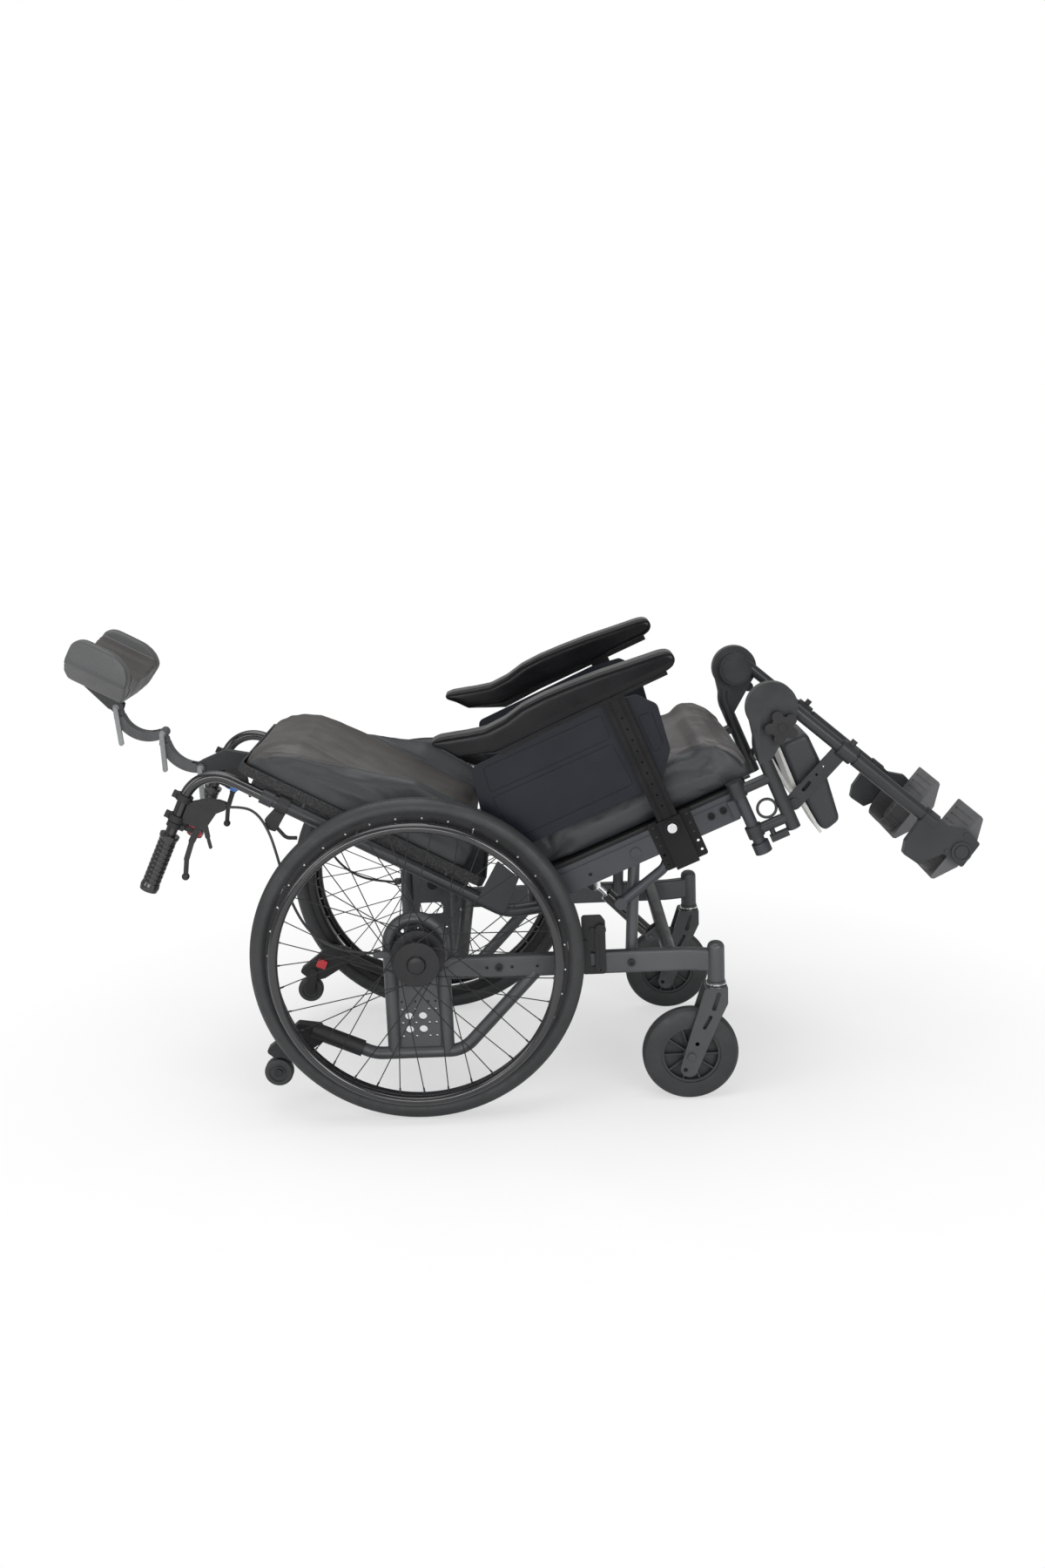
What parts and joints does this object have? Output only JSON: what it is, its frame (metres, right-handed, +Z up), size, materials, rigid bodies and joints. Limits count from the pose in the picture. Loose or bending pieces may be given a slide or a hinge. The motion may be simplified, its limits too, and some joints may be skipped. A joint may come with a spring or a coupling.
{
  "type": "tilt in space wheelchair",
  "caption": "Attendant wheelchair whose seat tilts in space and whose back reclines, with elevating swing-away legrests, height-adjustable arms and a hinged headrest",
  "frame": {"origin": "on the floor, under the middle of the bounding box", "axes": "+X points forward, the way the sitter faces; +Y is the sitter's left; +Z is up"},
  "size_m": [1.6878, 0.66, 0.9055],
  "materials": {
    "base_frame_right": "satin charcoal",
    "base_frame_left": "satin charcoal",
    "cross_tubes": "satin charcoal",
    "base_fittings": "satin black",
    "tilt_strut_cylinder": "gloss black",
    "tyre_right": "matte",
    "spoked_wheel_right": "black anodised rim with bright spokes",
    "handrim_right": "glossy black",
    "tyre_left": "matte",
    "spoked_wheel_left": "black anodised rim with bright spokes",
    "handrim_left": "glossy black",
    "caster_fork_right": "satin charcoal",
    "caster_wheel_right": "matte tread on a moulded core",
    "caster_fork_left": "satin charcoal",
    "caster_wheel_left": "matte tread on a moulded core",
    "anti_tip_arm_right": "moulded black",
    "anti_tip_wheel_right": "moulded black",
    "anti_tip_arm_left": "moulded black",
    "anti_tip_wheel_left": "moulded black",
    "seat_frame": "satin charcoal",
    "seat_pan": "black stained board",
    "seat_cushion": "soft black upholstery",
    "seat_fittings": "satin black",
    "recline_strut_cylinder": "gloss black",
    "brake_cables_lower": "black sheath",
    "tilt_strut_rod": "polished",
    "armrest_button_right": "satin",
    "armrest_button_left": "satin",
    "armrest_post_right": "black anodised",
    "arm_pad_right": "fine grained skin",
    "skirt_guard_right": "navy black",
    "armrest_post_left": "black anodised",
    "arm_pad_left": "fine grained skin",
    "skirt_guard_left": "navy black",
    "back_frame": "satin charcoal",
    "push_handle_right": "black, with rubber grips",
    "push_handle_left": "black, with rubber grips",
    "back_shell": "black",
    "back_cushion": "soft black upholstery",
    "lever_brackets": "black",
    "brake_cables_upper": "black sheath",
    "recline_strut_rod": "polished",
    "brake_lever_right": "black",
    "brake_lever_left": "black",
    "recline_trigger": "red",
    "tilt_trigger": "blue",
    "lock_lever": "black",
    "headrest_link_lower": "satin black",
    "headrest_link_upper": "satin black",
    "headrest_pad": "soft black upholstery",
    "hanger_right": "satin charcoal",
    "leg_tube_right": "satin charcoal",
    "foot_tube_right": "satin charcoal",
    "footplate_right": "moulded black",
    "calf_pad_right": "soft black upholstery",
    "hanger_left": "satin charcoal",
    "leg_tube_left": "satin charcoal",
    "foot_tube_left": "satin charcoal",
    "footplate_left": "moulded black",
    "calf_pad_left": "soft black upholstery"
  },
  "bodies": {
    "base": {"base_frame_right": "base_frame_right", "base_frame_left": "base_frame_left", "cross_tubes": "cross_tubes", "base_fittings": "base_fittings", "tilt_strut_cylinder": "tilt_strut_cylinder"},
    "wheel_right": {"tyre_right": "tyre_right", "spoked_wheel_right": "spoked_wheel_right", "handrim_right": "handrim_right"},
    "wheel_left": {"tyre_left": "tyre_left", "spoked_wheel_left": "spoked_wheel_left", "handrim_left": "handrim_left"},
    "fork_right": {"caster_fork_right": "caster_fork_right"},
    "caster_right": {"caster_wheel_right": "caster_wheel_right"},
    "fork_left": {"caster_fork_left": "caster_fork_left"},
    "caster_left": {"caster_wheel_left": "caster_wheel_left"},
    "anti_tip_right": {"anti_tip_arm_right": "anti_tip_arm_right"},
    "tip_wheel_right": {"anti_tip_wheel_right": "anti_tip_wheel_right"},
    "anti_tip_left": {"anti_tip_arm_left": "anti_tip_arm_left"},
    "tip_wheel_left": {"anti_tip_wheel_left": "anti_tip_wheel_left"},
    "seat": {"seat_frame": "seat_frame", "seat_pan": "seat_pan", "seat_cushion": "seat_cushion", "seat_fittings": "seat_fittings", "recline_strut_cylinder": "recline_strut_cylinder", "brake_cables_lower": "brake_cables_lower"},
    "tilt_rod": {"tilt_strut_rod": "tilt_strut_rod"},
    "button_right": {"armrest_button_right": "armrest_button_right"},
    "button_left": {"armrest_button_left": "armrest_button_left"},
    "armrest_right": {"armrest_post_right": "armrest_post_right", "arm_pad_right": "arm_pad_right", "skirt_guard_right": "skirt_guard_right"},
    "armrest_left": {"armrest_post_left": "armrest_post_left", "arm_pad_left": "arm_pad_left", "skirt_guard_left": "skirt_guard_left"},
    "back": {"back_frame": "back_frame", "push_handle_right": "push_handle_right", "push_handle_left": "push_handle_left", "back_shell": "back_shell", "back_cushion": "back_cushion", "lever_brackets": "lever_brackets", "brake_cables_upper": "brake_cables_upper"},
    "recline_rod": {"recline_strut_rod": "recline_strut_rod"},
    "brake_right": {"brake_lever_right": "brake_lever_right"},
    "brake_left": {"brake_lever_left": "brake_lever_left"},
    "recline_release": {"recline_trigger": "recline_trigger"},
    "tilt_release": {"tilt_trigger": "tilt_trigger"},
    "lock": {"lock_lever": "lock_lever"},
    "head_lower": {"headrest_link_lower": "headrest_link_lower"},
    "head_upper": {"headrest_link_upper": "headrest_link_upper"},
    "head": {"headrest_pad": "headrest_pad"},
    "hanger_right": {"hanger_right": "hanger_right"},
    "leg_right": {"leg_tube_right": "leg_tube_right"},
    "foot_right": {"foot_tube_right": "foot_tube_right"},
    "plate_right": {"footplate_right": "footplate_right"},
    "calf_right": {"calf_pad_right": "calf_pad_right"},
    "hanger_left": {"hanger_left": "hanger_left"},
    "leg_left": {"leg_tube_left": "leg_tube_left"},
    "foot_left": {"foot_tube_left": "foot_tube_left"},
    "plate_left": {"footplate_left": "footplate_left"},
    "calf_left": {"calf_pad_left": "calf_pad_left"}
  },
  "joints": [
    {"name": "wheel_roll_right", "type": "hinge", "parent": "base", "child": "wheel_right", "pos_m": [-0.19845, -0.285, 0.305], "axis": [0, 1, 0], "continuous": true},
    {"name": "wheel_roll_left", "type": "hinge", "parent": "base", "child": "wheel_left", "pos_m": [-0.19845, 0.285, 0.305], "axis": [0, 1, 0], "continuous": true},
    {"name": "caster_swivel_right", "type": "hinge", "parent": "base", "child": "fork_right", "pos_m": [0.35056, -0.24, 0.262], "axis": [0, 0, 1], "continuous": true},
    {"name": "caster_roll_right", "type": "hinge", "parent": "fork_right", "child": "caster_right", "pos_m": [0.30056, -0.24, 0.09], "axis": [0, 1, 0], "continuous": true},
    {"name": "caster_swivel_left", "type": "hinge", "parent": "base", "child": "fork_left", "pos_m": [0.35056, 0.24, 0.262], "axis": [0, 0, 1], "continuous": true},
    {"name": "caster_roll_left", "type": "hinge", "parent": "fork_left", "child": "caster_left", "pos_m": [0.30056, 0.24, 0.09], "axis": [0, 1, 0], "continuous": true},
    {"name": "anti_tip_flip_right", "type": "hinge", "parent": "base", "child": "anti_tip_right", "pos_m": [-0.33612, -0.225, 0.12434], "axis": [0.9135, 0, -0.4067], "range_deg": [0, 180]},
    {"name": "tip_wheel_roll_right", "type": "hinge", "parent": "anti_tip_right", "child": "tip_wheel_right", "pos_m": [-0.47545, -0.225, 0.076], "axis": [0, 1, 0], "continuous": true},
    {"name": "anti_tip_flip_left", "type": "hinge", "parent": "base", "child": "anti_tip_left", "pos_m": [-0.33612, 0.225, 0.12434], "axis": [-0.9135, 0, 0.4067], "range_deg": [0, 180]},
    {"name": "tip_wheel_roll_left", "type": "hinge", "parent": "anti_tip_left", "child": "tip_wheel_left", "pos_m": [-0.47545, 0.225, 0.076], "axis": [0, 1, 0], "continuous": true},
    {"name": "seat_tilt", "type": "hinge", "parent": "base", "child": "seat", "pos_m": [0.20755, 0, 0.479], "axis": [0, 1, 0], "range_deg": [0, 22.5], "deforming": ["brake_cables_lower"]},
    {"name": "tilt_strut_extend", "type": "slide", "parent": "base", "child": "tilt_rod", "axis": [-0.6986, 0, 0.7155], "range_m": [0, 0.0495]},
    {"name": "button_press_right", "type": "slide", "parent": "seat", "child": "button_right", "axis": [0, 1, 0], "range_m": [0, 0.0022], "stiffness_N_per_m": 400},
    {"name": "button_press_left", "type": "slide", "parent": "seat", "child": "button_left", "axis": [0, -1, 0], "range_m": [0, 0.0022], "stiffness_N_per_m": 400},
    {"name": "armrest_height_right", "type": "slide", "parent": "seat", "child": "armrest_right", "axis": [-0.3827, 0, 0.9239], "range_m": [-0.03, 0.07]},
    {"name": "armrest_height_left", "type": "slide", "parent": "seat", "child": "armrest_left", "axis": [-0.3827, 0, 0.9239], "range_m": [-0.03, 0.07]},
    {"name": "back_recline", "type": "hinge", "parent": "seat", "child": "back", "pos_m": [0.06042, 0, 0.37692], "axis": [0, 1, 0], "range_deg": [0, 35], "deforming": ["brake_cables_upper"]},
    {"name": "recline_strut_extend", "type": "slide", "parent": "seat", "child": "recline_rod", "axis": [-0.6756, 0, -0.7373], "range_m": [0, 0.0453]},
    {"name": "brake_pull_right", "type": "hinge", "parent": "back", "child": "brake_right", "pos_m": [-0.58462, -0.205, 0.56476], "axis": [0, 1, 0], "range_deg": [0, 10], "stiffness_Nm_per_rad": 4},
    {"name": "brake_pull_left", "type": "hinge", "parent": "back", "child": "brake_left", "pos_m": [-0.58462, 0.205, 0.56476], "axis": [0, 1, 0], "range_deg": [0, 10], "stiffness_Nm_per_rad": 4},
    {"name": "recline_trigger_pull", "type": "hinge", "parent": "back", "child": "recline_release", "pos_m": [-0.61003, -0.189, 0.54334], "axis": [0, 1, 0], "range_deg": [0, 15], "stiffness_Nm_per_rad": 0.6},
    {"name": "tilt_trigger_pull", "type": "hinge", "parent": "back", "child": "tilt_release", "pos_m": [-0.61003, 0.189, 0.54334], "axis": [0, 1, 0], "range_deg": [0, 15], "stiffness_Nm_per_rad": 0.6},
    {"name": "lock_lever_turn", "type": "hinge", "parent": "back", "child": "lock", "pos_m": [-0.45232, -0.205, 0.5482], "axis": [0, 1, 0], "range_deg": [0, 30]},
    {"name": "headrest_lower_turn", "type": "hinge", "parent": "back", "child": "head_lower", "pos_m": [-0.62276, 0, 0.62213], "axis": [0, 1, 0], "range_deg": [-15, 15]},
    {"name": "headrest_upper_turn", "type": "hinge", "parent": "head_lower", "child": "head_upper", "pos_m": [-0.69081, 0, 0.69358], "axis": [0, 1, 0], "range_deg": [-15, 15]},
    {"name": "headrest_nod", "type": "hinge", "parent": "head_upper", "child": "head", "pos_m": [-0.77556, 0, 0.7491], "axis": [0, 1, 0], "range_deg": [-15, 15]},
    {"name": "legrest_swing_right", "type": "hinge", "parent": "seat", "child": "hanger_right", "pos_m": [0.40434, -0.247, 0.56051], "axis": [0.3827, 0, -0.9239], "range_deg": [0, 90]},
    {"name": "legrest_raise_right", "type": "hinge", "parent": "hanger_right", "child": "leg_right", "pos_m": [0.45395, -0.24, 0.74125], "axis": [0, -1, 0], "range_deg": [-20, 40]},
    {"name": "footrest_length_right", "type": "slide", "parent": "leg_right", "child": "foot_right", "axis": [0.7563, 0, -0.6542], "range_m": [0, 0.06]},
    {"name": "footplate_angle_right", "type": "hinge", "parent": "foot_right", "child": "plate_right", "pos_m": [0.80097, -0.215, 0.45745], "axis": [0, -1, 0], "range_deg": [-15, 45]},
    {"name": "calf_pad_angle_right", "type": "hinge", "parent": "leg_right", "child": "calf_right", "pos_m": [0.49757, -0.22, 0.56016], "axis": [0, -1, 0], "range_deg": [-15, 15]},
    {"name": "legrest_swing_left", "type": "hinge", "parent": "seat", "child": "hanger_left", "pos_m": [0.40434, 0.247, 0.56051], "axis": [-0.3827, 0, 0.9239], "range_deg": [0, 90]},
    {"name": "legrest_raise_left", "type": "hinge", "parent": "hanger_left", "child": "leg_left", "pos_m": [0.45395, 0.24, 0.74125], "axis": [0, -1, 0], "range_deg": [-20, 40]},
    {"name": "footrest_length_left", "type": "slide", "parent": "leg_left", "child": "foot_left", "axis": [0.7563, 0, -0.6542], "range_m": [0, 0.06]},
    {"name": "footplate_angle_left", "type": "hinge", "parent": "foot_left", "child": "plate_left", "pos_m": [0.80097, 0.215, 0.45745], "axis": [0, -1, 0], "range_deg": [-15, 45]},
    {"name": "calf_pad_angle_left", "type": "hinge", "parent": "leg_left", "child": "calf_left", "pos_m": [0.49757, 0.22, 0.56016], "axis": [0, -1, 0], "range_deg": [-15, 15]}
  ],
  "couplings": [
    {"joint": "tilt_strut_extend", "follows": "seat_tilt", "m_per_rad": 0.12567},
    {"joint": "recline_strut_extend", "follows": "back_recline", "m_per_rad": 0.073839}
  ]
}
